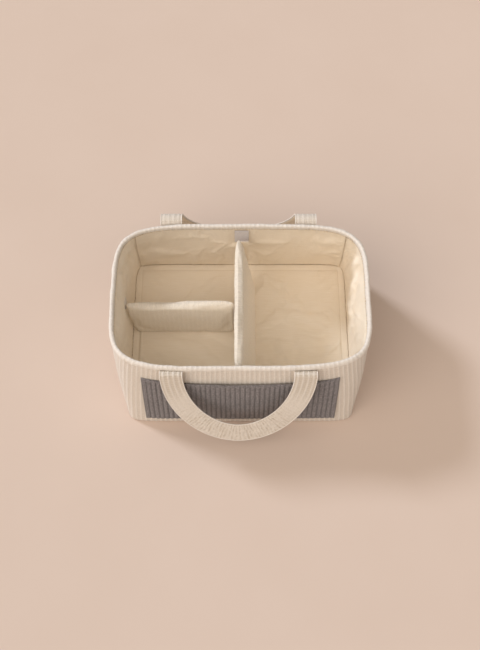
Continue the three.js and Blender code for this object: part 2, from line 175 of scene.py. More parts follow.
def grainMaterial(name, colors, looks):
    # Foam, board, tape and thread: an even colour broken up by a grain of its real size
    material, shader = newMaterial(name, looks["roughness"], looks["fuzz"])
    place = addNode(material, "TexCoord").outputs["Object"]
    grain = noiseNode(material, place, 1000 / looks["grainMm"], 3.0, 0.65)
    color = mixColor(material, rangeNode(material, grain, 0.3, 0.7), *colors)
    height = mathNode(material, "ADD", grain, cellNode(material, place, 1000 / looks["cellMm"]))
    return linkLooks(material, shader, color, height, looks["bump"], 0.001 * looks["cellMm"])


# colours of the ribs, of their warmer patches and of the painted shade in the grooves
ribLooks = {"fuzz": 0.2, "holePitch": 0.0037, "holeShare": 0.3, "grain": 0.17, "bump": 0.6,
            "loopMm": (1.8, 1.4)}
creamRib = ribbedCotton("undyed_ribbed_cotton", ("F4ECE2", "EDE3D6", "E4D8CA"), ribLooks)
strapCotton = ribbedCotton("ribbed_cotton_strap", ("F3EADF", "EBE0D2", "C6B59E"),
                           {**ribLooks, "holeShare": 0.4, "grain": 0.2, "bump": 0.7, "loopMm": (1.7, 1.5)})
# the dividers' cover is the cloth's own cream, made lighter and warmer than the outer cloth as painted light
# for the shaded compartments
dividerCotton = ribbedCotton("ribbed_cotton_cover_with_painted_light", ("F9F0E2", "F4E8D5", "E6D8C2"),
                             {**ribLooks, "grain": 0.16})
bandRib = ribbedCotton("ribbed_cotton_rim_band", ("F7F0E7", "F2E9DE", "F1E8DD"),
                       {**ribLooks, "holeShare": 0.2, "grain": 0.14, "bump": 0.5, "loopMm": (1.7, 1.4)})
greyRib = ribbedCotton("grey_ribbed_cotton_knit", ("ABA5A6", "9A9495", "3A3536"),
                       {**ribLooks, "holePitch": 0.0034, "holeShare": 0.75, "grain": 0.5, "bump": 1.0,
                        "loopMm": (2.3, 2.6)})
# colours of the thread, of its warmer patches and of the slubs, and the thread's size in millimetres
liningWeave = wovenCotton("plain_cotton_lining", ("F7ECDC", "F1E4CF", "E5D4B7"), 1.1)
facingWeave = wovenCotton("plain_cotton_facing", ("F7EAD6", "F0E0C6", "E4D1B2"), 1.0)
tapeLoops = grainMaterial("grey_hook_and_loop_tape", ("CBC4C4", "E6E1E2"),
                          {"roughness": 0.9, "fuzz": 0.4, "grainMm": 0.9, "cellMm": 0.7, "bump": 0.6})
whiteFoam = grainMaterial("polyurethane_foam", ("E9E3D2", "F5F1E6"),
                          {"roughness": 0.97, "fuzz": 0.0, "grainMm": 2.0, "cellMm": 1.1, "bump": 0.5})
buffBoard = grainMaterial("pressed_pulp_board", ("B8A483", "CDBB9D"),
                          {"roughness": 0.85, "fuzz": 0.0, "grainMm": 3.0, "cellMm": 1.6, "bump": 0.15})
threadLooks = {"roughness": 0.6, "fuzz": 0.2, "grainMm": 0.8, "cellMm": 0.5, "bump": 0.3}
creamThread, tanThread, brownThread, greyThread = [
    grainMaterial(f"{name}_polyester_thread", colors, threadLooks) for name, colors in (
        ("cream", ("E6DAC5", "F4ECDD")), ("tan", ("B59C78", "CDB695")),
        ("brown", ("8C7250", "A68A64")), ("grey", ("746D6C", "948D8C")))]
print("materials made", len(bpy.data.materials))

# the body's shape, as in the part
body = {
    "height": 0.158, "rimWidth": 0.380, "rimDepth": 0.241, "rimSquareness": 4.7,
    "baseWidth": 0.349, "baseDepth": 0.281, "baseSquareness": 17, "belly": 0.002,
    "wall": 0.0044, "seam": 0.0003, "floorTop": 0.0097, "wobble": 0.0007, "outlineSteps": 60,
}
outlines = {}


def bodySection(z):
    share = clamp(z / body["height"])
    belly = body["belly"] * sin(pi * share)
    halfX = lerp(body["baseWidth"], body["rimWidth"], share) / 2 + belly
    halfY = lerp(body["baseDepth"], body["rimDepth"], share) / 2 + belly
    return halfX, halfY, 1 / lerp(1 / body["baseSquareness"], 1 / body["rimSquareness"], share)


def squareReach(p, q, power):
    # how far (p, q) has to be stretched to lie on a rounded square of half size 1
    return (abs(p) ** power + abs(q) ** power) ** (-1 / power)


def sectionNormal(x, y, section):
    halfX, halfY, power = section
    return Vector((copysign(abs(x) ** (power - 1), x) / halfX,
                   copysign(abs(y) ** (power - 1), y) / halfY, 0)).normalized()


def lengthsTo(points):
    # the lengths along a line, up to each of its points
    lengths = [0.0]
    for a, b in zip(points, points[1:]):
        lengths.append(lengths[-1] + (b - a).length)
    return lengths


def findPart(lengths, goal):
    # the number of the point that ends the part where goal lies, and the share of that part
    i = clamp(bisect(lengths, goal), 1, len(lengths) - 1)
    return i, (goal - lengths[i - 1]) / max(lengths[i] - lengths[i - 1], 1e-9)


def bodyOutline(z):
    # the outline at a height from the middle of the front, counterclockwise seen from above
    key = round(z, 5)
    if key not in outlines:
        section, steps = bodySection(z), body["outlineSteps"]
        square = []
        for side in range(4):
            for i in range(-steps, steps):
                w = copysign(1 - (1 - abs(i) / steps) ** 2, i)
                square.append([(w, -1), (1, w), (-w, 1), (-1, -w)][side])
        square = square[steps:] + square[:steps + 1]
        points, normals = [], []
        for p, q in square:
            reach = squareReach(p, q, section[2])
            x, y = p * reach, q * reach
            points.append(Vector((section[0] * x, section[1] * y, 0)))
            normals.append(sectionNormal(x, y, section))
        lengths = lengthsTo(points)
        total = lengths[-1]
        corners = [length / total for length, (p, q) in zip(lengths, square) if abs(p) == 1 and abs(q) == 1]
        outlines[key] = {"points": points, "normals": normals, "shares": [s / total for s in lengths],
                         "corners": corners + [corners[0] + 1], "total": total}
    return outlines[key]


def bodyPoint(share, z, inset):
    # share 0..1 round the body; a soft wall wavers a little, the same for all of its layers
    outline = bodyOutline(z)
    i, part = findPart(outline["shares"], share % 1)
    point = outline["points"][i - 1].lerp(outline["points"][i], part)
    normal = outline["normals"][i - 1].lerp(outline["normals"][i], part).normalized()
    waver = ripple(point.x * 14, point.y * 14, z * 16) * body["wobble"] * 2 * clamp(z / 0.03)
    point += normal * (waver - inset)
    point.z = z
    return point, normal


def wallDepth(x, z):
    halfX, halfY, power = bodySection(z)
    return halfY * max(1 - min(abs(x) / halfX, 1) ** power, 0) ** (1 / power)


def finishPiece(piece, material, bodyName, replaced=()):
    piece.data.materials.clear()
    piece.data.materials.append(material)
    for polygon in piece.data.polygons:
        polygon.use_smooth = True
    if bodyName:
        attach(piece, bodyName)
    if replaced:
        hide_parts(*replaced)
    return piece


def meshPiece(name, bm):
    mesh = bpy.data.meshes.new(name)
    bm.to_mesh(mesh)
    bm.free()
    piece = bpy.data.objects.new(name, mesh)
    scene.collection.objects.link(piece)
    return piece


def clothPiece(name, columns, rows, size, placeAt, loop=False, inward=False, grooveAt=None):
    # a grid laid out by placeAt(u, v), with u and v from 0 to 1; its UV map is in metres of cloth
    bm = bmesh.new()
    uvLayer = bm.loops.layers.uv.new("cloth")
    grooveLayer = bm.verts.layers.float.new("groove")
    bmesh.ops.create_grid(bm, x_segments=columns, y_segments=rows, size=0.5)
    spots = {v: (v.co.x + 0.5, v.co.y + 0.5) for v in bm.verts}
    for face in bm.faces:
        for corner in face.loops:
            u, v = spots[corner.vert]
            corner[uvLayer].uv = (u * size[0], v * size[1])
    for vert, (u, v) in spots.items():
        vert.co = placeAt(u, v)
        if grooveAt:
            vert[grooveLayer] = grooveAt(u, v)
    if loop:
        bmesh.ops.remove_doubles(bm, verts=bm.verts, dist=2e-6)
    if inward:
        bmesh.ops.reverse_faces(bm, faces=bm.faces)
    return meshPiece(name, bm)


def editMesh(piece, change):
    bm = bmesh.new()
    bm.from_mesh(piece.data)
    change(bm)
    bm.to_mesh(piece.data)
    bm.free()


def addModifier(piece, kind, **settings):
    modifier = piece.modifiers.new(kind.lower(), kind)
    for key, value in settings.items():
        setattr(modifier, key, value)
    return modifier


def thicken(piece, thickness, offset=-1.0):
    addModifier(piece, "SOLIDIFY", thickness=thickness, offset=offset, use_even_offset=False)


def keepShape(piece):
    # the piece with its modifiers applied
    bpy.context.view_layer.update()
    depsgraph = bpy.context.evaluated_depsgraph_get()
    mesh = bpy.data.meshes.new_from_object(piece.evaluated_get(depsgraph))
    piece.modifiers.clear()
    old, piece.data = piece.data, mesh
    bpy.data.meshes.remove(old)
    mesh.name = piece.name


def ribRise(turns):
    # 0 in a groove and 1 on the crown of a rib
    return 1 - abs(2 * (turns % 1) - 1) ** 2.3


def ribLine(turns):
    # a narrow raised rib, 1 at its middle, between wide flat bands
    away = abs((turns + 0.5) % 1 - 0.5)
    return exp(-(away / 0.17) ** 2)


def foldRise(folds, x, y):
    # soft folds of the cloth, each along a line from (x0, y0) to (x1, y1) and fading at its ends
    rise = 0.0
    for x0, y0, x1, y1, width, height in folds:
        line, away = Vector((x1 - x0, y1 - y0)), Vector((x - x0, y - y0))
        share = away.dot(line) / line.length_squared
        side = (away - line * clamp(share)).length / width
        fade = smooth(share / 0.3 + 0.3) * smooth((1 - share) / 0.3 + 0.3)
        rise += height * exp(-side * side) * fade
    return rise


clothSettings = {
    "quality": 6, "mass": 0.15, "tension_stiffness": 18, "compression_stiffness": 18, "shear_stiffness": 6,
    "tension_damping": 20, "compression_damping": 20, "air_damping": 4, "vertex_group_mass": "pinned",
    "use_pressure": True,
}
clothFrames = 20


def settleCloth(piece, pinnedAt, cap, looks):
    # Blender's cloth settles the piece; no point moves further than cap(point, move) allows
    rest = [v.co.copy() for v in piece.data.vertices]
    group = piece.vertex_groups.new(name="pinned")
    group.add([i for i, point in enumerate(rest) if pinnedAt(point)], 1.0, "REPLACE")
    cloth = addModifier(piece, "CLOTH")
    for key, value in {**clothSettings, "bending_stiffness": looks["bending"], "shrink_min": -looks["slack"],
                       "shrink_max": -looks["slack"], "uniform_pressure_force": looks["pressure"]}.items():
        setattr(cloth.settings, key, value)
    cloth.settings.effector_weights.gravity = 0
    cloth.collision_settings.use_collision = False
    cloth.point_cache.frame_start, cloth.point_cache.frame_end = 1, clothFrames
    for number in range(1, clothFrames + 1):
        scene.frame_set(number)
    depsgraph = bpy.context.evaluated_depsgraph_get()
    settled = [v.co.copy() for v in piece.evaluated_get(depsgraph).data.vertices]
    piece.modifiers.remove(cloth)
    piece.vertex_groups.remove(group)
    for vert, start, end in zip(piece.data.vertices, rest, settled):
        vert.co = start + cap(start, end - start)
    scene.frame_set(1)


def stitchPiece(name, stitches, seams, material):
    # each stitch is a (place, direction, outward); Blender adds them faster in small groups
    whole = bmesh.new()
    size = Matrix.Diagonal((seams["length"] / 2, seams["thread"], seams["thread"], 1))
    for start in range(0, len(stitches), 30):
        part = bmesh.new()
        for place, direction, outward in stitches[start:start + 30]:
            side = outward.cross(direction).normalized()
            turn = Matrix((direction, side, direction.cross(side).normalized())).transposed().to_4x4()
            bmesh.ops.create_uvsphere(part, u_segments=6, v_segments=4, radius=1,
                                      matrix=Matrix.Translation(place) @ turn @ size)
        mesh = bpy.data.meshes.new("stitches")
        part.to_mesh(mesh)
        part.free()
        whole.from_mesh(mesh)
        bpy.data.meshes.remove(mesh)
    finishPiece(meshPiece(name, whole), material, "root")


outerWall = {
    "ribs": 160, "ribDepth": 0.00028, "columnsPerRib": 10, "rows": 22, "cloth": 0.0010,
    "rest": 0.0003, "foot": 0.004, "turnIn": 0.010, "turnShare": 0.08, "footShare": 0.2, "top": 0.1547,
    "frontSwell": 0.004, "crumple": 0.0004,
}


def frontSwell(x, z):
    # the padded front wall swells a little behind the pocket
    across = max(1 - (x / 0.15) ** 2, 0)
    return outerWall["frontSwell"] * across * smooth(z / 0.05) * smooth((0.152 - z) / 0.03)


def outerWallPlace(u, v):
    # the lowest part runs in under the base, and the next one turns round the foot
    foot, rest, turnShare, footShare = [outerWall[key] for key in ("foot", "rest", "turnShare", "footShare")]
    if v < turnShare:
        inset, z = foot + outerWall["turnIn"] * (turnShare - v) / turnShare, rest
    elif v < footShare:
        turn = (v - turnShare) / (footShare - turnShare) * pi / 2
        inset, z = foot * (1 - sin(turn)), rest + foot * (1 - cos(turn))
    else:
        inset, z = 0.0, lerp(rest + foot, outerWall["top"], (v - footShare) / (1 - footShare))
    place, out = bodyPoint(u, z, inset)
    rise = (ribLine(u * outerWall["ribs"]) - 1) * outerWall["ribDepth"]
    rise += ripple(place.x * 50, place.y * 50, z * 70) * outerWall["crumple"]
    if place.y < 0:
        rise += frontSwell(place.x, z) * clamp(-out.y)
    return place + out * (rise * smooth((v - turnShare) / 0.1))


def wallGroove(u, v):
    # the groove mark, where the material paints shade into the grooves between ribs
    return 1 - ribLine(u * outerWall["ribs"])


outerPiece = clothPiece("outer_wall_cloth", outerWall["ribs"] * outerWall["columnsPerRib"], outerWall["rows"],
                        (1.2, 0.165), outerWallPlace, loop=True, grooveAt=wallGroove)
thicken(outerPiece, outerWall["cloth"])
finishPiece(outerPiece, creamRib, "root", ["outer_wall"])

rimBand = {
    "outerDrop": 0.006, "innerDrop": 0.010, "outerShare": 0.26, "topShare": 0.72, "radius": 0.0033,
    "ribDepth": 0.00006, "columnsPerRib": 6, "rows": 20, "cloth": 0.0007, "lift": 0.0007,
    "lumps": 0.0008, "fineLumps": 0.0003,
}


def rimBandPlace(u, v):
    # up the outside, round over the top and down the inside of the wall
    middle, radius, top = body["wall"] / 2, rimBand["radius"], outerWall["top"]
    outerShare, topShare = rimBand["outerShare"], rimBand["topShare"]
    turn = clamp((v - outerShare) / (topShare - outerShare)) * pi
    inset, z = middle - radius * cos(turn), top + radius * sin(turn)
    if v < outerShare:
        z = lerp(body["height"] - rimBand["outerDrop"], top, v / outerShare)
    elif v > topShare:
        z = lerp(top, body["height"] - rimBand["innerDrop"], (v - topShare) / (1 - topShare))
    place, out = bodyPoint(u, z, inset)
    press = (ribLine(u * outerWall["ribs"]) - 1) * rimBand["ribDepth"]
    press += ripple(place.x * 70, place.y * 70, z * 60) * rimBand["lumps"]
    press += ripple(place.x * 260, place.y * 260, z * 200) * rimBand["fineLumps"]
    wave = ripple(place.x * 9, place.y * 9, 3.1) * rimBand["lift"]
    return place + out * (press * cos(turn)) + Vector((0, 0, press * sin(turn) + wave))


bandPiece = clothPiece("rim_band_cloth", outerWall["ribs"] * rimBand["columnsPerRib"], rimBand["rows"],
                       (1.17, 0.0215), rimBandPlace, loop=True, grooveAt=wallGroove)
thicken(bandPiece, rimBand["cloth"])
finishPiece(bandPiece, bandRib, "root", ["rim_binding"])

rimSeams = {"z": 0.1497, "inset": 0.0056, "pitch": 0.0046, "length": 0.0031, "thread": 0.00065}
rimCount = round(bodyOutline(rimSeams["z"])["total"] / rimSeams["pitch"])
rimSpots = [bodyPoint(i / rimCount, rimSeams["z"], rimSeams["inset"]) for i in range(rimCount)]
stitchPiece("rim_stitches", [(place, Vector((-out.y, out.x, 0)), out) for place, out in rimSpots],
            rimSeams, tanThread)
print("outer wall and rim band made")

base = {"z": 0.0008, "cloth": 0.0010, "edge": 0.012, "padZ": 0.0066, "pad": 0.0030, "padEdge": 0.006}


def diskPlace(z, edge, heightAt=None, square=1.0):
    # a flat panel with the base's outline, laid out from a square grid
    def place(u, v):
        halfX, halfY, power = bodySection(z)
        p, q = 2 * u - 1, 2 * v - 1
        size = max(abs(p), abs(q))
        reach = squareReach(p / size, q / size, power * square) if size else 0.0
        point = Vector(((halfX - edge) * p * reach, (halfY - edge) * q * reach, z))
        if heightAt:
            point.z += heightAt(point)
        return point
    return place


basePiece = clothPiece("outer_base_cloth", 60, 48, (0.345, 0.277), diskPlace(base["z"], base["edge"]))
thicken(basePiece, base["cloth"], 0.0)
finishPiece(basePiece, liningWeave, "root", ["outer_base"])

padPiece = clothPiece("base_foam_pad", 40, 32, (0.34, 0.27), diskPlace(base["padZ"], base["padEdge"]))
thicken(padPiece, base["pad"], 0.0)
finishPiece(padPiece, whiteFoam, "root", ["base_pad"])

wallFoam = {"bottom": 0.002, "top": 0.154, "inset": 0.0017, "thick": 0.0010}
lining = {
    "cloth": 0.0006, "inset": 0.0040, "bottom": 0.0098, "top": 0.1530, "cell": 0.004, "puff": 0.003,
    "giveBack": 0.0002, "hem": 0.149, "pucker": 0.0028, "crease": 0.0008, "pressure": 0.25, "slack": 0.03,
    "bending": 0.15, "patchX": 0.0022, "patchHalf": 0.012, "patchFoot": 0.099, "seamHalf": 0.0035,
}
# folds as (along, height, along, height, half width, rise), in metres from a panel's first corner
sides = [
    {"name": "right", "width": body["baseDepth"], "drift": 0.0038, "wrinkle": 0.0022, "folds": [
        (0.225, 0.138, 0.252, 0.030, 0.006, 0.0030), (0.180, 0.142, 0.205, 0.070, 0.009, 0.0018),
        (0.120, 0.143, 0.112, 0.060, 0.010, 0.0020), (0.060, 0.142, 0.075, 0.060, 0.009, 0.0018),
        (0.150, 0.060, 0.210, 0.030, 0.010, 0.0012)]},
    {"name": "back", "width": body["rimWidth"], "drift": 0.0020, "wrinkle": 0.0007, "folds": [
        (0.020, 0.130, 0.050, 0.050, 0.009, 0.0016), (0.330, 0.140, 0.345, 0.060, 0.008, 0.0018),
        (0.240, 0.143, 0.230, 0.090, 0.010, 0.0012), (0.100, 0.143, 0.108, 0.090, 0.010, 0.0012)]},
    {"name": "left", "width": body["baseDepth"], "drift": 0.0026, "wrinkle": 0.0010, "folds": [
        (0.020, 0.138, 0.010, 0.030, 0.006, 0.0026), (0.060, 0.143, 0.050, 0.080, 0.009, 0.0018),
        (0.190, 0.142, 0.200, 0.060, 0.010, 0.0018)]},
    {"name": "front", "width": body["rimWidth"], "drift": 0.0020, "wrinkle": 0.0007, "folds": [
        (0.050, 0.142, 0.060, 0.050, 0.010, 0.0016), (0.300, 0.142, 0.290, 0.050, 0.010, 0.0016)]},
]
liningSeams = {"pitch": 0.0056, "length": 0.0044, "thread": 0.00042, "beside": 0.0022, "lift": 0.0003}
seamStitches = []


def sideShare(number, u, z):
    # the share round the body at u across one side, between its two corner seams
    start, end = bodyOutline(z)["corners"][number:number + 2]
    return lerp(start, end, lerp(-0.0004, 1.0004, u))


def patchAway(number, point):
    # 0 where a tape is sewn on the lining, rising to 1 away from it
    if number in (0, 2):
        return 1.0
    across = abs(point.x - lining["patchX"]) - lining["patchHalf"]
    return smooth(max(across, lining["patchFoot"] - point.z) / 0.012)


def liningPlace(number):
    side = sides[number]

    def place(u, v):
        along, z = u * side["width"], lerp(lining["bottom"], lining["top"], v)
        # the seams in the corners draw the cloth in, and the hem gathers it into small puckers
        corner = min(u, 1 - u) * side["width"]
        inset = lining["inset"] - lining["crease"] * exp(-(corner / 0.003) ** 2)
        below, pucker = lining["hem"] - z, 0.0
        if below > 0:
            pucker = abs(ripple(along * 150, number * 7.0, 0)) * lining["pucker"] * exp(-below / 0.016)
        soft = (0.5 + 0.5 * ripple(along * 22, number * 5.0, z * 26)) * side["drift"]
        # wrinkles are sharp ridges that run up the wall and lean a little
        lean = ripple(along * 46 + z * 14, number * 3.0, z * 17)
        soft += (1 - min(abs(lean) * 3, 1)) ** 2 * side["wrinkle"]
        soft *= sin(pi * clamp(v * 1.05))
        fold = foldRise(side["folds"], along, z) * clamp(below / 0.01)
        share = sideShare(number, u, z)
        calm = patchAway(number, bodyPoint(share, z, inset)[0])
        return bodyPoint(share, z, inset + (pucker + soft + fold) * calm)[0]
    return place


def liningCap(start, move):
    # a point of the lining may move into the room, and hardly back into the wall
    section = bodySection(start.z)
    out = sectionNormal(*[clamp(c / half, -1, 1) for c, half in zip(start.xy, section)], section)
    depth = -move.dot(out)
    slide = move + out * depth
    slide = slide.normalized() * min(slide.length, lining["puff"])
    return slide - out * clamp(depth, -lining["giveBack"], lining["puff"])


def seamRow(number, panel, start, end):
    # stitches on the settled cloth, from one (u, v) of the panel to another
    place = liningPlace(number)
    tree = BVHTree.FromPolygons([vert.co for vert in panel.data.vertices],
                                [face.vertices[:] for face in panel.data.polygons])
    count = round((place(*end) - place(*start)).length / liningSeams["pitch"])
    points = [place(*[lerp(a, b, i / count) for a, b in zip(start, end)]) for i in range(count + 1)]
    row = []
    for a, b in zip(points, points[1:]):
        spot, outward, _, _ = tree.find_nearest((a + b) / 2)
        row.append((spot + outward * liningSeams["lift"], (b - a).normalized(), outward))
    return row


def makeSide(number, name, width):
    def foamPlace(u, v):
        z = lerp(wallFoam["bottom"], wallFoam["top"], v)
        return bodyPoint(sideShare(number, u, z), z, wallFoam["inset"])[0]

    def pinned(point):
        # sewn in along the hem, the floor seam and the corner seams, and held by the tapes
        z = point.z
        if z < lining["bottom"] + 0.002 or z > lining["hem"] or patchAway(number, point) < 0.2:
            return True
        corners = bodyOutline(z)["corners"][number:number + 2]
        away = min((point - bodyPoint(share, z, lining["inset"])[0]).length for share in corners)
        return away < lining["seamHalf"]

    foam = clothPiece(f"wall_foam_{name}_pad", 40, 12, (width, 0.15), foamPlace)
    thicken(foam, wallFoam["thick"])
    finishPiece(foam, whiteFoam, "root", [f"wall_foam_{name}"])
    panel = clothPiece(f"lining_{name}_cloth", round(width / lining["cell"]), round(0.144 / lining["cell"]),
                       (width, 0.145), liningPlace(number), inward=True)
    settleCloth(panel, pinned, liningCap, lining)
    # the seams along the foot and down the corners are sewn with a darker thread
    seamStitches.extend(seamRow(number, panel, (0.012, 0.014), (0.988, 0.014)))
    if number in (1, 3):
        beside = liningSeams["beside"] / width
        for end in (beside, 1 - beside):
            seamStitches.extend(seamRow(number, panel, (end, 0.02), (end, 0.95)))
    addModifier(panel, "SUBSURF", levels=1, render_levels=1)
    thicken(panel, lining["cloth"])
    finishPiece(panel, liningWeave, "root", [f"lining_{name}"])


for number, side in enumerate(sides):
    makeSide(number, side["name"], side["width"])
stitchPiece("lining_seam_stitches", seamStitches, liningSeams, brownThread)
print("lining walls made")

liningFloor = {
    "edge": 0.0036, "border": 0.011, "groove": 0.0009, "cloth": 0.0008, "lift": 0.0006, "square": 1.2,
    "pressure": 0.12, "slack": 0.02, "bending": 0.1,
    "folds": [(-0.165, 0.125, -0.120, 0.085, 0.005, 0.0012), (-0.150, 0.128, -0.118, 0.100, 0.004, 0.0009),
              (0.160, 0.122, 0.128, 0.092, 0.005, 0.0012), (-0.090, -0.020, -0.050, -0.075, 0.006, 0.0010),
              (0.060, 0.030, 0.115, -0.060, 0.010, 0.0004), (-0.150, -0.040, -0.120, -0.095, 0.005, 0.0010)],
}


def floorGap(point):
    # how far a point lies inside the floor's edge
    return min(half - liningFloor["edge"] - abs(c)
               for half, c in zip(bodySection(body["floorTop"]), point.xy))


def floorRise(point):
    # a sewn groove runs round the floor inside its edge
    gap = floorGap(point)
    near = (gap - liningFloor["border"]) / 0.0020
    soft = ripple(point.x * 24, point.y * 24, 4.0) * 0.0006 * smooth(gap / 0.008)
    groove = liningFloor["groove"] * exp(-near * near)
    return liningFloor["lift"] - groove + soft + foldRise(liningFloor["folds"], point.x, point.y)


def floorPinned(point):
    gap = floorGap(point)
    return gap < 0.001 or abs(gap - liningFloor["border"]) < 0.0015


def floorCap(start, move):
    return Vector((clamp(move.x, -0.001, 0.001), clamp(move.y, -0.001, 0.001),
                   clamp(move.z, -0.0002, 0.0022)))


floorPiece = clothPiece("lining_floor_cloth", 172, 136, (0.34, 0.27),
                        diskPlace(body["floorTop"], liningFloor["edge"], floorRise, liningFloor["square"]))
settleCloth(floorPiece, floorPinned, floorCap, liningFloor)
thicken(floorPiece, liningFloor["cloth"])
finishPiece(floorPiece, liningWeave, "root", ["lining_floor"])

floorSeams = {"pitch": 0.0042, "length": 0.0030, "thread": 0.0003, "lift": 0.0002}
floorStitches = []
halfX, halfY = [half - liningFloor["edge"] - liningFloor["border"]
                for half in bodySection(body["floorTop"])[:2]]
corners = [Vector((halfX * p, halfY * q, 0)) for p, q in ((-1, -1), (1, -1), (1, 1), (-1, 1), (-1, -1))]
for a, b in zip(corners, corners[1:]):
    count = round((b - a).length / floorSeams["pitch"])
    for i in range(count):
        spot = a.lerp(b, (i + 0.5) / count)
        spot.z = body["floorTop"] + floorRise(spot) + floorSeams["lift"]
        floorStitches.append((spot, (b - a).normalized(), Vector((0, 0, 1))))
stitchPiece("lining_floor_stitches", floorStitches, floorSeams, tanThread)
print("lining floor made")

pocket = {
    "width": 0.287, "bottom": 0.018, "top": 0.126, "cloth": 0.0013, "gape": 0.0034, "standOff": 0.0010,
    "ribs": 40, "ribDepth": 0.0012, "columnsPerRib": 8, "waver": 0.0009,
    "hem": 0.005, "hemCloth": 0.0006, "hemGap": 0.0007, "hemRise": 0.0005, "hemRibs": 0.6, "hemTurn": 0.12,
}


def pocketStandOff(x, z):
    # the pocket lies on the swelled wall and gapes a little at its mouth
    across = 1 - (x / (pocket["width"] / 2)) ** 2
    up = clamp((z - pocket["bottom"]) / (pocket["top"] - pocket["bottom"]))
    return pocket["standOff"] + frontSwell(x, z) + pocket["gape"] * across * up ** 2


def pocketRise(x, u, z):
    # how far the rib and the cloth's waver stand out
    edge = min(u, 1 - u) * pocket["width"]
    rib = (ribRise(u * pocket["ribs"]) - 1) * pocket["ribDepth"] * smooth(edge / 0.003)
    return rib, ripple(x * 30, 5.0, z * 40) * pocket["waver"] * smooth(edge / 0.02)


def pocketPlace(u, v):
    x, z = (u - 0.5) * pocket["width"], lerp(pocket["bottom"], pocket["top"], v)
    rib, waver = pocketRise(x, u, z)
    return Vector((x, -(wallDepth(x, z) + pocketStandOff(x, z) + pocket["cloth"] + rib + waver), z))


def hemPlace(u, v):
    # the turned hem: up the outside of the mouth, over it and down its inside
    x, side, turn = (u - 0.5) * pocket["width"], 2 * v - 1, pocket["hemTurn"]
    z = pocket["top"] + pocket["hemRise"] - max(abs(side) - turn, 0) / (1 - turn) * pocket["hem"]
    rib, waver = pocketRise(x, u, z)
    half = (pocket["cloth"] / 2 + pocket["hemGap"]) * clamp(-side / turn, -1, 1)
    out = pocketStandOff(x, z) + pocket["cloth"] / 2 + waver + half + rib * pocket["hemRibs"] * (side < 0)
    return Vector((x, -(wallDepth(x, z) + out), z))


pocketColumns = pocket["ribs"] * pocket["columnsPerRib"]
# the groove mark gives the pocket's grooves and its hem their painted shade
pocketPiece = clothPiece("front_pocket_cloth", pocketColumns, 48, (pocket["width"], 0.110), pocketPlace,
                         grooveAt=lambda u, v: 1 - ribRise(u * pocket["ribs"]))
thicken(pocketPiece, pocket["cloth"])
finishPiece(pocketPiece, greyRib, "root", ["front_pocket"])

hemPiece = clothPiece("front_pocket_hem_cloth", pocketColumns, 14, (pocket["width"], 0.0112), hemPlace,
                      grooveAt=lambda u, v: pocket["hemRibs"] * (1 - ribRise(u * pocket["ribs"])))
thicken(hemPiece, pocket["hemCloth"])
finishPiece(hemPiece, greyRib, "root", ["front_pocket_hem"])

pocketSeams = {"pitch": 0.0036, "length": 0.0025, "thread": 0.00035, "edge": 0.0022, "lift": 0.0004}


def pocketStitches():
    # a line down both sides and along the bottom, and one along the turned hem
    left, low = pocketSeams["edge"] - pocket["width"] / 2, pocket["bottom"] + pocketSeams["edge"]
    hemLine, high = pocket["top"] - pocket["hem"] + 0.0012, pocket["top"] - 0.001
    beyond = pocket["cloth"] + pocketSeams["lift"] - 0.4 * pocket["ribDepth"]
    stitches = []
    for start, end in (((left, high), (left, low)), ((left, low), (-left, low)),
                       ((-left, low), (-left, high)), ((left, hemLine), (-left, hemLine))):
        a, b = Vector(start), Vector(end)
        count = round((b - a).length / pocketSeams["pitch"])
        line = [a.lerp(b, i / count) for i in range(count + 1)]
        spots = [Vector((x, -(wallDepth(x, z) + pocketStandOff(x, z) + beyond), z)) for x, z in line]
        for i, spot in enumerate(spots):
            direction = (spots[min(i + 1, count)] - spots[max(i - 1, 0)]).normalized()
            stitches.append((spot, direction, Vector((0, -1, 0))))
    return stitches


stitchPiece("front_pocket_stitches", pocketStitches(), pocketSeams, greyThread)
print("pocket made")

handle = {
    "width": 0.032, "facing": 0.0008, "crown": 0.0006, "thick": 0.0033, "gap": 0.0003, "reach": 0.1212,
    "tailLength": 0.010, "squareness": 1.92, "centre": -0.0026, "ribPitch": 0.0074, "bowPitch": 0.0050,
    "rounded": 0.035, "ribDepth": 0.0004, "bowDepth": 0.0006, "lumps": 0.0005,
}
edging = {"radius": 0.0008, "steps": 8, "lift": 0.0006}
rootSeams = {"length": 0.0024, "thread": 0.0004, "half": 0.0135, "count": 9}
wallLean = atan((body["baseDepth"] - body["rimDepth"]) / 2 / body["height"])
tailAngle = pi + wallLean
strapStandOff = handle["gap"] + handle["thick"] / 2


def strapForm(name, side, span, fold, tailTop, lean, grooveShade):
    fromTail = fold * (tailAngle - pi / 2)
    return {"name": name, "side": side, "armX": span / 2, "fold": fold, "tailTop": tailTop,
            "grooveShade": grooveShade, "fromTail": fromTail, "toHang": fold * (pi / 2 - radians(lean)),
            "drop": handle["reach"] - fromTail}


def strapRoute(strap, s):
    # up the wall, round the fold and down again, as distances out from the wall and up
    turned = clamp(s, -strap["fromTail"], strap["toHang"])
    angle = pi / 2 - turned / strap["fold"]
    beyond = s - turned
    out = strapStandOff + strap["fold"] * (cos(angle) - cos(tailAngle)) + beyond * sin(angle)
    z = strap["tailTop"] + strap["fold"] * (sin(angle) - sin(tailAngle)) - beyond * cos(angle)
    return out, z, angle


def strapPoint(strap, x, s, lift):
    # the tail follows the wall, whose bow the strap loses on its way to the fold
    armX, wallZ = strap["armX"], strap["tailTop"]
    out, z, angle = strapRoute(strap, s)
    out += wallDepth(armX, wallZ)
    if s < -strap["fromTail"]:
        out = wallDepth(armX, z) + strapStandOff
    wallZ = min(z, wallZ)
    bow = wallDepth(x - handle["centre"], wallZ) - wallDepth(armX, wallZ)
    y = out + bow * clamp(-s / strap["fromTail"]) + lift * cos(angle)
    return Vector((x, strap["side"] * y, z + lift * sin(angle)))


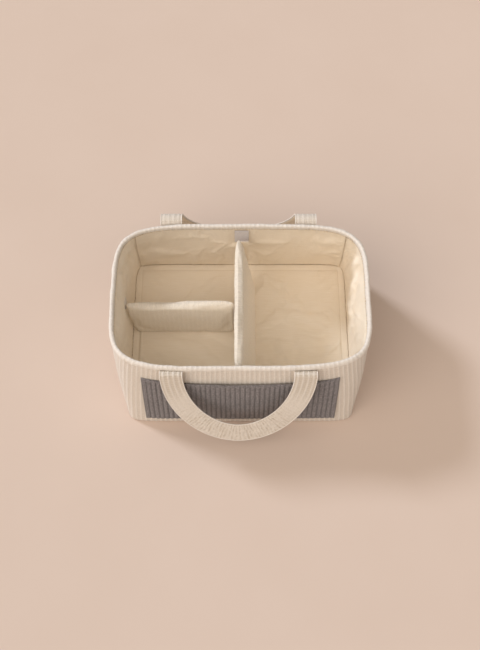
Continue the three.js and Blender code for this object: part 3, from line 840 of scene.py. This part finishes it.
def strapLine(strap):
    # the strap's middle line in its own flat pattern, as places (x, s) and the lengths up to them
    start = -strap["fromTail"] - handle["tailLength"]
    tail = [Vector((strap["armX"], start * (1 - i / 20))) for i in range(20)]
    flat, steps, power = list(tail), 300, 2 / handle["squareness"]
    for i in range(1, steps):
        turn = pi * i / steps
        x = copysign(abs(cos(turn)) ** power, cos(turn)) * strap["armX"]
        flat.append(Vector((x, sin(turn) ** power * strap["drop"])))
    flat += [Vector((-place.x, place.y)) for place in tail[::-1]]
    return flat, lengthsTo(flat)


def strapPlaceAt(strap, line, share, reach, lift):
    # a place on the strap, so far along it and reach to one side of its middle line
    flat, lengths = line
    i, part = findPart(lengths, share * lengths[-1])
    middle = flat[i - 1].lerp(flat[i], part)
    direction = (flat[min(i + 3, len(flat) - 1)] - flat[max(i - 4, 0)]).normalized()
    x = handle["centre"] + middle.x + direction.y * reach
    s = middle.y - direction.x * reach
    return strapPoint(strap, x, max(s, 0.0) if middle.y > 0 else s, lift)


def strapSections():
    # round the strap's section: (place across -1..1, lift, share of the ribbed face)
    high, crown, rounded = handle["thick"] / 2, handle["crown"], handle["rounded"]
    low, flat = -high + handle["facing"] + handle["gap"], 1 - rounded
    bulge = (high - low) / 2 - crown / 2
    turns = [pi * i / 5 for i in range(1, 5)]
    face = [lerp(-flat, flat, i / 40) for i in range(41)]
    ring = [(across, high - crown * across ** 4, 1.0) for across in face]
    ring += [(flat + rounded * sin(turn), high - crown - bulge * (1 - cos(turn)), 0.0)
             for turn in turns]
    ring += [(lerp(flat, -flat, i / 8), low, 0.0) for i in range(9)]
    ring += [(-flat - rounded * sin(turn), low + bulge * (1 - cos(turn)), 0.0) for turn in turns]
    return ring


def strapRib(strap, across, length, total):
    # ribs run down the arms and fade; round the bow, where the strap was cut across the cloth, they
    # cross it and crumple finely
    fromEnd = min(length, total - length)
    along = 1 - 0.85 * smooth((fromEnd - 0.040) / 0.045)
    bow = smooth((fromEnd - 0.060) / 0.06)
    arms = ribLine(across * handle["width"] / 2 / handle["ribPitch"] + 0.5)
    slant = length + across * 0.004 * ripple(length * 40, 0.3, 6.1)
    shift = 2.0 * ripple(length * 50, across * 1.2, 3.3)
    ridges = 0.32 * sin(2 * pi * slant / handle["bowPitch"] + shift)
    ridges += 0.60 * ripple(slant * 420, across * 2.2, 1.7) + 0.50 * ripple(slant * 800, across * 5.0, 5.3)
    lumps = ripple(across * 2.5, length * 70, 8.2) * handle["lumps"]
    rise = (arms - 1) * along * handle["ribDepth"]
    rise += (ridges * bow * handle["bowDepth"] + lumps) * (1 - abs(across) ** 6)
    # painted shade: the groove mark darkens the grooves down the arms and the troughs between the crumples
    # round the bow
    groove = (1 - arms) * along * strap["grooveShade"] + clamp(0.35 - ridges) * bow * 0.8
    return rise, clamp(groove)


def blendAtFold(piece, strap):
    # bakes the piece's transform into its mesh; y, the top of the fold, is worked out but not used
    y = wallDepth(strap["armX"], strap["tailTop"]) + strapStandOff + strap["fold"] * cos(wallLean)
    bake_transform(piece)


def closeEnds(bm):
    bmesh.ops.holes_fill(bm, edges=[e for e in bm.edges if e.is_boundary])
    bmesh.ops.recalc_face_normals(bm, faces=bm.faces)


def makeHandle(strap):
    name, line, ring = strap["name"], strapLine(strap), strapSections()
    total = line[1][-1]

    def strapPlace(u, v):
        across, lift, face = ring[round(u * len(ring)) % len(ring)]
        rise = strapRib(strap, across, v * total, total)[0] * face
        return strapPlaceAt(strap, line, v, across * handle["width"] / 2, lift + rise)

    def strapGroove(u, v):
        across, _, face = ring[round(u * len(ring)) % len(ring)]
        return strapRib(strap, across, v * total, total)[1] * face

    def facingPlace(u, v):
        reach = (2 * u - 1) * (handle["width"] / 2 - 0.0012)
        crease = ripple(u * 3, v * total * 70, 2.0) * 0.00025
        return strapPlaceAt(strap, line, v, reach, 0.0004 - handle["thick"] / 2 + crease)

    cloth = clothPiece(f"{name}_handle_strap", len(ring), round(total / 0.0012), (0.072, total), strapPlace,
                       loop=True, grooveAt=strapGroove)
    editMesh(cloth, closeEnds)
    finishPiece(cloth, strapCotton, None,
                [f"{name}_handle", f"{name}_handle_end_left", f"{name}_handle_end_right"])
    blendAtFold(cloth, strap)

    facing = clothPiece(f"{name}_handle_facing_cloth", 12, round(total / 0.003), (0.03, total), facingPlace,
                        inward=strap["side"] < 0)
    thicken(facing, 0.0005, 0.0)
    finishPiece(facing, facingWeave, None, [f"{name}_handle_facing"])
    blendAtFold(facing, strap)

    # a rolled and sewn edge runs along both sides of the strap
    for edgeName, edgeSide in (("outer", 1), ("inner", -1)):
        def edgePlace(u, v, edgeSide=edgeSide):
            turn, radius = 2 * pi * u, edging["radius"]
            reach = edgeSide * (handle["width"] / 2 + radius * (cos(turn) - 0.3))
            return strapPlaceAt(strap, line, v, reach, edging["lift"] + radius * 1.2 * sin(turn))
        edge = clothPiece(f"{name}_handle_{edgeName}_edging", edging["steps"], round(total / 0.002),
                          (0.006, total), edgePlace, loop=True)
        editMesh(edge, closeEnds)
        finishPiece(edge, bandRib, None)
        blendAtFold(edge, strap)

    # bright dashes where each root is sewn on, just before the fold's top and on the tail
    dashes = []
    for arm in (-1, 1):
        for s in (-strap["fold"] * 0.5, -strap["fromTail"] - 0.002):
            for i in range(rootSeams["count"]):
                across = rootSeams["half"] * (2 * i / (rootSeams["count"] - 1) - 1)
                x = handle["centre"] + arm * strap["armX"] + across
                spot, above = [strapPoint(strap, x, s, handle["thick"] / 2 + up) for up in (0, 0.001)]
                dashes.append((spot, Vector((1, 0, 0)), (above - spot).normalized()))
    stitchPiece(f"{name}_handle_root_stitches", dashes, rootSeams, creamThread)


# the last number is how strongly painted shade darkens each strap's grooves
makeHandle(strapForm("front", -1, 0.1918, 0.004, 0.1482, 24.5, 0.7))
makeHandle(strapForm("rear", 1, 0.206, 0.010, 0.144, 15, 0.35))
print("handles made")

divider = {
    "topThick": 0.009, "squareness": 8, "seam": 0.0003, "voxel": 0.004, "swell": 0.0026, "shrink": 0.0006,
    "ribPitch": 0.0074, "ribDepth": 0.00015, "grooveShade": 0.35, "pressure": 4.0, "slack": 0.02, "bending": 0.5,
}
# axis is the direction of a divider's length: 0 for x and 1 for y
longDivider = {
    "name": "long_divider", "axis": 1, "top": 0.145, "length": 0.213, "middle": -0.005, "topX": -0.0033,
    "footX": 0.014, "footThick": 0.022,
}
shortDivider = {
    "name": "short_divider", "axis": 0, "top": 0.098, "y": 0.0145, "footThick": 0.012, "topLift": 0.0036,
    "overTab": 0.0012,
}
tape = {
    "thick": 0.0012, "edgeX": longDivider["topX"] + 0.0165, "longLow": 0.040, "longTop": 0.119,
    "hook": 0.018, "patch": 0.022, "patchTop": 0.142, "shortLow": 0.038, "shortTop": 0.092,
    "shortWidth": 0.007, "spread": 0.0005, "leftLow": 0.081, "leftTop": 0.096, "leftWidth": 0.014,
}
shortRight = longDivider["topX"] - divider["topThick"] / 2 - tape["thick"] - 0.002
dividerFoot = body["floorTop"] + divider["seam"]


def longForm(z):
    # the middle and the half sizes of a section
    share = (z - body["floorTop"]) / (longDivider["top"] - body["floorTop"])
    thick = lerp(longDivider["footThick"], divider["topThick"], share)
    x = lerp(longDivider["footX"], longDivider["topX"], share)
    return x, longDivider["middle"], thick / 2, longDivider["length"] / 2


def leftLayer(z, layer):
    # where each of the layers begins that lie on the left wall's lining
    inside = -(bodySection(z)[0] - body["wall"])
    return inside + body["seam"] + layer * (tape["thick"] + body["seam"])


def shortForm(z):
    share = (z - body["floorTop"]) / (shortDivider["top"] - body["floorTop"])
    left, right = leftLayer(z, 3), shortRight + shortDivider["overTab"]
    thick = lerp(shortDivider["footThick"], divider["topThick"], share)
    return (left + right) / 2, shortDivider["y"], (right - left) / 2, thick / 2


def longShape(point):
    # the soft top wavers a little from front to back
    up = smooth((point.z - 0.05) / 0.09)
    return Vector((ripple(2.0, point.y * 14, 1.0) * 0.0022 * up, 0,
                   ripple(5.0, point.y * 12, 3.0) * 0.0012 * up))


def shortShape(point):
    # the top bows up towards the long divider, and the pad is fuller there
    up = smooth((point.z - 0.03) / 0.06)
    bump = smooth((point.x + 0.140) / 0.085) * (1 - 0.4 * smooth((point.x + 0.040) / 0.020))
    full = (point.y - shortDivider["y"]) * (0.25 + 0.3 * bump) * up
    return Vector((0, full + ripple(point.x * 20, 1.0, 2.0) * 0.0012 * up,
                   (shortDivider["topLift"] * bump + ripple(point.x * 30, 4.0, 9.0) * 0.0010) * up))


def dividerPlace(form, top):
    # from the middle of the foot, out and up the sides, and over the rounded top to its middle
    radius, shrink = divider["topThick"] / 2, divider["shrink"]

    def place(u, v):
        side, part = int(u * 4) % 4, 2 * (u * 4 % 1) - 1
        p, q = [(1, part), (-part, 1), (-1, -part), (part, -1)][side]
        reach = squareReach(p, q, divider["squareness"])
        scale, inset = 1.0, 0.0
        if v < 0.1:
            z, scale = dividerFoot, v / 0.1
        elif v < 0.8:
            z = lerp(dividerFoot, top - radius, (v - 0.1) / 0.7)
        else:
            angle = (v - 0.8) / 0.2 * pi / 2
            z, inset = top - radius + radius * sin(angle), 1 - cos(angle)
        x, y, halfX, halfY = form(z)
        halfX, halfY = halfX - shrink, halfY - shrink
        inset *= min(halfX, halfY)
        return Vector((x + (halfX - inset) * p * reach * scale, y + (halfY - inset) * q * reach * scale,
                       z - shrink * (v > 0.8)))
    return place


def makeDivider(looks, form, shapeAt):
    name, axis, top = looks["name"], looks["axis"], looks["top"]

    def fill(bm):
        bmesh.ops.remove_doubles(bm, verts=bm.verts, dist=0.0002)
        bmesh.ops.recalc_face_normals(bm, faces=bm.faces)
        for vert in bm.verts:
            vert.co += shapeAt(vert.co)

    def pinned(point):
        # the end seams and the foot stay where they are sewn, and the top corners are free
        section = form(point.z)
        run = section[2 + axis] - abs(point[axis] - section[axis])
        return (run < 0.003 and point.z < top - 0.012) or point.z < dividerFoot + 0.004

    def cap(start, move):
        return move.normalized() * min(move.length, divider["swell"])

    def addRibs(bm):
        bm.normal_update()
        grooveLayer = bm.verts.layers.float.get("groove") or bm.verts.layers.float.new("groove")
        uvLayer = bm.loops.layers.uv.get("cloth") or bm.loops.layers.uv.new("cloth")
        for face in bm.faces:
            for corner in face.loops:
                place = corner.vert.co
                corner[uvLayer].uv = (place[axis], place.z + 0.3 * place[1 - axis])
        for vert in bm.verts:
            x, y, z = vert.co
            rib = ribLine(vert.co[axis] / divider["ribPitch"])
            lumps = ripple(x * 40, y * 40, z * 40) * 0.0006 + ripple(x * 170, y * 170, z * 90) * 0.0002
            vert.co += vert.normal * ((rib - 1) * divider["ribDepth"] + lumps)
            # painted shade in the grooves between the cover's ribs
            vert[grooveLayer] = (1 - rib) * divider["grooveShade"]

    cover = clothPiece(f"{name}_cover_cloth", 160, 60, (0.45, 0.15), dividerPlace(form, top), loop=True)
    editMesh(cover, fill)
    addModifier(cover, "REMESH", mode="VOXEL", voxel_size=divider["voxel"])
    keepShape(cover)
    settleCloth(cover, pinned, cap, divider)
    addModifier(cover, "SUBSURF", levels=2, render_levels=2)
    keepShape(cover)
    editMesh(cover, addRibs)
    finishPiece(cover, dividerCotton, name, [f"{name}_cover", f"{name}_pad"])


makeDivider(longDivider, longForm, longShape)
makeDivider(shortDivider, shortForm, shortShape)
print("dividers made")

tapeCloths = {"lining": liningWeave, "cream_cloth": creamRib, "hook_and_loop": tapeLoops}
tabReach = wallDepth(tape["edgeX"], body["height"]) - body["wall"] - 2 * body["seam"] - 0.0008


def tapePiece(name, route, heights, bodyName, slot, replaced):
    # an upright tape along a short route on the plan, between two heights
    low, high = heights

    def place(u, v):
        z = lerp(low, high, v)
        points = [Vector(point) for point in route(z)]
        lengths = lengthsTo(points)
        i, part = findPart(lengths, u * lengths[-1])
        return Vector((*points[i - 1].lerp(points[i], part), z))

    widths = [lengthsTo([Vector(point) for point in route(z)])[-1] for z in heights]
    width = max(sum(widths) / 2, 0.010)
    piece = clothPiece(name, max(round(width / 0.0012), 8), round((high - low) / 0.0025),
                       (width, high - low), place)
    thicken(piece, tape["thick"], 0.0)
    addModifier(piece, "BEVEL", width=tape["thick"] * 0.3, segments=2)
    finishPiece(piece, tapeCloths[slot], bodyName, [replaced])


def longTabRoute(end):
    tabY = end * (tabReach - body["seam"] - 1.5 * tape["thick"])

    def route(z):
        x, middle, _, halfY = longForm(z)
        return [(x, middle + end * (halfY + body["seam"])), (x, tabY), (tape["edgeX"], tabY)]
    return route


def longHookRoute(end):
    hookY = end * (tabReach - tape["thick"] / 2)
    return lambda z: [(longForm(z)[0], hookY), (tape["edgeX"], hookY)]


def wallLoopRoute(end):
    def route(z):
        y = end * (wallDepth(0, z) - body["wall"] - body["seam"] - tape["thick"] / 2)
        return [(tape["edgeX"] - tape["patch"], y), (tape["edgeX"], y)]
    return route


def shortRoute(xAt, start, end):
    # straight across, between two distances from the short divider's middle
    return lambda z: [(xAt(z), shortDivider["y"] + start), (xAt(z), shortDivider["y"] + end)]


def leftRoute(layer):
    return shortRoute(lambda z: leftLayer(z, layer) + tape["thick"] / 2, 0, tape["leftWidth"])


def rightTabX(z):
    return shortRight + body["seam"] + tape["thick"] / 2


def longLoopX(z):
    x, _, halfX, _ = longForm(z)
    return x - halfX - body["seam"] - tape["thick"] / 2


tabHeights, hookLow = (tape["longLow"], tape["longTop"]), tape["longTop"] - tape["hook"]
for end, tabName, wallName in ((1, "rear", "back"), (-1, "front", "front")):
    tab = f"long_divider_{tabName}_tab"
    tapePiece(f"{tab}_cloth", longTabRoute(end), tabHeights, "long_divider", "lining", tab)
    tapePiece(f"long_divider_{tabName}_hook_tape", longHookRoute(end), (hookLow, tape["longTop"]),
              "long_divider", "hook_and_loop", f"long_divider_{tabName}_hook")
    tapePiece(f"{wallName}_wall_loop_tape", wallLoopRoute(end), (hookLow, tape["patchTop"]), "root",
              "hook_and_loop", f"{wallName}_loop_tape")
leftHeights, shortHeights = (tape["leftLow"], tape["leftTop"]), (tape["shortLow"], tape["shortTop"])
rightHalf, loopHalf = tape["shortWidth"] / 2, tape["shortWidth"] / 2 + tape["spread"]
tapePiece("left_wall_loop_tape", leftRoute(0), leftHeights, "root", "hook_and_loop", "left_loop_tape")
tapePiece("short_divider_left_hook_tape", leftRoute(1), leftHeights, "short_divider", "hook_and_loop",
          "short_divider_left_hook")
tapePiece("short_divider_left_tab_cloth", leftRoute(2), leftHeights, "short_divider", "cream_cloth",
          "short_divider_left_tab")
tapePiece("short_divider_right_tab_cloth", shortRoute(rightTabX, -rightHalf, rightHalf), shortHeights,
          "short_divider", "cream_cloth", "short_divider_right_tab")
tapePiece("long_divider_loop_tape", shortRoute(longLoopX, -loopHalf, loopHalf), shortHeights,
          "long_divider", "hook_and_loop", "long_divider_loop")
print("tapes made")

# these boards stay as the part has them
for nodeName in ("base_board", "long_divider_board", "short_divider_board"):
    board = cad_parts[nodeName]
    board.data.materials.clear()
    board.data.materials.append(buffBoard)

stageLooks = {
    "floor": "D9C6B8", "floorDeep": "D4C0B1", "wall": "DCCBBE", "world": 0.30, "sky": "FFF4E8",
    "sun": 1.62, "sunColor": "EAF2FF", "side": 1.55, "above": 0.68, "warm": "FFF5EC",
}
floorMaterial, floorShader = newMaterial("matte_paper_floor", 0.9)
floorSpots = noiseNode(floorMaterial, addNode(floorMaterial, "TexCoord").outputs["Object"], 6.0, 3.0)
floorColor = mixColor(floorMaterial, floorSpots, stageLooks["floor"], stageLooks["floorDeep"])
floorMaterial.node_tree.links.new(floorColor, floorShader.inputs["Base Color"])
bm = bmesh.new()
bmesh.ops.create_grid(bm, x_segments=1, y_segments=1, size=6)
floor = meshPiece("floor", bm)
floor.data.materials.append(floorMaterial)

world = bpy.data.worlds.new("soft_room")
scene.world = world
world.use_nodes = True
background = world.node_tree.nodes["Background"]
background.inputs["Color"].default_value = linearColor(stageLooks["sky"])
background.inputs["Strength"].default_value = stageLooks["world"]
# the camera sees a plain pale wall beyond the floor, which gives no light of its own
seenWall = addNode(world, "Background", None, {0: linearColor(stageLooks["wall"]), 1: 1.0})
mixedSky = addNode(world, "MixShader", None, {0: addNode(world, "LightPath").outputs["Is Camera Ray"],
                                              1: background.outputs[0], 2: seenWall.outputs[0]})
world.node_tree.links.new(mixedSky.outputs[0], world.node_tree.nodes["World Output"].inputs["Surface"])


def placeObject(name, data, place, towards):
    holder = bpy.data.objects.new(name, data)
    holder.location = place
    holder.rotation_euler = towards.to_track_quat("-Z", "Y").to_euler()
    scene.collection.objects.link(holder)
    return holder


def addSun(name, place, softness, power, color):
    lamp = bpy.data.lights.new(name, "SUN")
    lamp.angle = radians(softness)
    lamp.energy = power
    lamp.color = linearColor(color)[:3]
    placeObject(name, lamp, place, -Vector(place))


addSun("window_light", (-2.0, 1.3, 1.7), 11, stageLooks["sun"], stageLooks["sunColor"])
addSun("side_fill", (-1.5, -1.3, 1.7), 60, stageLooks["side"], stageLooks["warm"])
addSun("ceiling_fill", (0.9, -1.1, 2.0), 60, stageLooks["above"], stageLooks["warm"])

camera = {"elevation": 63.0, "distance": 1.5, "aim": (-0.0005, -0.0123, 0.079), "lens": 54.17}
cameraData = bpy.data.cameras.new("camera")
cameraData.lens = camera["lens"]
cameraData.sensor_width = 36
cameraData.clip_start, cameraData.clip_end = 0.05, 50
lift = radians(camera["elevation"])
back = Vector((0, -cos(lift), sin(lift)))
scene.camera = placeObject("camera", cameraData, Vector(camera["aim"]) + back * camera["distance"], -back)
print("stage made")
